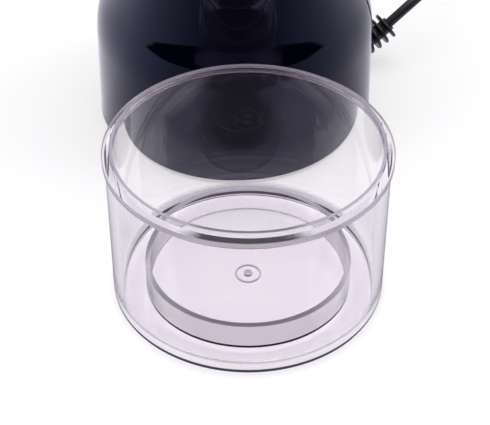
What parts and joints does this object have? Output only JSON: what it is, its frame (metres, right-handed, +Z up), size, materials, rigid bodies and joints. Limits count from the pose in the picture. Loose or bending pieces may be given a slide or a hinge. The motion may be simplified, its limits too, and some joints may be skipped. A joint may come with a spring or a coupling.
{
  "type": "electric spice grinder",
  "caption": "Push-button electric spice grinder with a lift-out steel cup, a spinning blade and a clear lid that stands mouth up beside the base.",
  "frame": {"origin": "centre of the base at the level of its feet, on the motor's axis", "axes": "+Z up along the motor's axis, -Y towards the push button and the lid, +X to the user's right"},
  "size_m": [0.1534, 0.3093, 0.172],
  "materials": {
    "housing_gloss": "high gloss",
    "button_gloss": "high gloss",
    "clear_lid": "clear, polished",
    "black_plastic": "fine grain",
    "cover_plastic": "spark-eroded grain",
    "black_rubber": "matt",
    "cord_rubber": "satin",
    "cup_steel": "brushed",
    "blade_steel": "ground",
    "shaft_steel": "turned",
    "zinc_steel": "bright zinc",
    "lamination": "stacked sheets",
    "copper_wire": "enamelled",
    "copper_bar": "turned",
    "bronze": "sintered",
    "cast_alloy": "cast",
    "carbon": "pressed",
    "phenolic": "moulded",
    "nylon": "moulded",
    "silicone": "satin",
    "switch_red": "moulded",
    "brass_pin": "polished",
    "capacitor_blue": "dipped",
    "wire_skin": "satin"
  },
  "bodies": {
    "base": {"housing": "housing_gloss", "base_cover": "cover_plastic", "cover_screws": "zinc_steel", "rubber_feet": "black_rubber", "top_deck": "black_plastic", "deck_screws": "zinc_steel", "safety_switch": "black_plastic", "button_spring": "zinc_steel", "power_switch": "black_plastic", "switch_bracket": "zinc_steel", "switch_screws": "zinc_steel", "motor_stator": "lamination", "field_coil_rear": "copper_wire", "field_coil_front": "copper_wire", "upper_bracket": "cast_alloy", "lower_bracket": "cast_alloy", "upper_bush": "bronze", "lower_bush": "bronze", "motor_bolts": "zinc_steel", "motor_dampers": "black_rubber", "brush_holder_right": "phenolic", "brush_holder_left": "phenolic", "carbon_brush_right": "carbon", "carbon_brush_left": "carbon", "brush_springs": "zinc_steel", "shaft_seal": "black_rubber", "strain_relief": "cord_rubber", "power_cord": "cord_rubber", "inner_cord": "cord_rubber", "cord_clamp": "black_plastic", "clamp_screws": "zinc_steel", "capacitor": "capacitor_blue", "supply_wires": "wire_skin", "motor_wires": "wire_skin", "cord_coil": "cord_rubber", "coil_tie": "black_rubber", "plug_body": "cord_rubber", "plug_blades": "brass_pin"},
    "rotor": {"motor_shaft": "shaft_steel", "armature_core": "lamination", "armature_winding": "copper_wire", "commutator": "copper_bar", "cooling_fan": "black_plastic", "drive_coupling": "nylon"},
    "cup": {"cup_shell": "cup_steel", "cup_stand": "black_plastic", "cup_seal": "silicone", "blade_bearing": "bronze", "hub_nut": "zinc_steel"},
    "blade_group": {"blade_shaft": "shaft_steel", "blade": "blade_steel", "blade_nut": "zinc_steel", "driven_coupling": "black_plastic", "thrust_washer": "shaft_steel"},
    "button": {"button_cap": "button_gloss"},
    "plunger": {"switch_plunger": "switch_red"},
    "interlock": {"interlock_pin": "nylon"},
    "interlock_plunger": {"safety_plunger": "switch_red"},
    "lid_body": {"lid": "clear_lid"}
  },
  "joints": [
    {"name": "lid_lift", "type": "slide", "parent": "base", "child": "lid_body", "axis": [0, 0, 1], "range_m": [0, 0.18]},
    {"name": "cup_lift", "type": "slide", "parent": "base", "child": "cup", "axis": [0, 0, 1], "range_m": [0, 0.07]},
    {"name": "motor_spin", "type": "hinge", "parent": "base", "child": "rotor", "pos_m": [0, 0, 0.061], "axis": [0, 0, 1], "continuous": true},
    {"name": "blade_spin", "type": "hinge", "parent": "cup", "child": "blade_group", "pos_m": [0, 0, 0.117], "axis": [0, 0, 1], "continuous": true},
    {"name": "button_press", "type": "slide", "parent": "base", "child": "button", "axis": [0, 1, 0], "range_m": [0, 0.0025], "stiffness_N_per_m": 600, "springref_m": -0.003, "deforming": ["button_spring"]},
    {"name": "plunger_press", "type": "slide", "parent": "base", "child": "plunger", "axis": [0, 1, 0], "range_m": [0, 0.0025]},
    {"name": "interlock_press", "type": "slide", "parent": "base", "child": "interlock", "axis": [0, 0, -1], "range_m": [0, 0.002], "stiffness_N_per_m": 300, "springref_m": -0.003},
    {"name": "interlock_plunger_press", "type": "slide", "parent": "base", "child": "interlock_plunger", "axis": [0, 0, -1], "range_m": [0, 0.002]}
  ],
  "couplings": [
    {"joint": "blade_spin", "follows": "motor_spin", "ratio": 1},
    {"joint": "plunger_press", "follows": "button_press", "ratio": 1},
    {"joint": "interlock_plunger_press", "follows": "interlock_press", "ratio": 1}
  ]
}
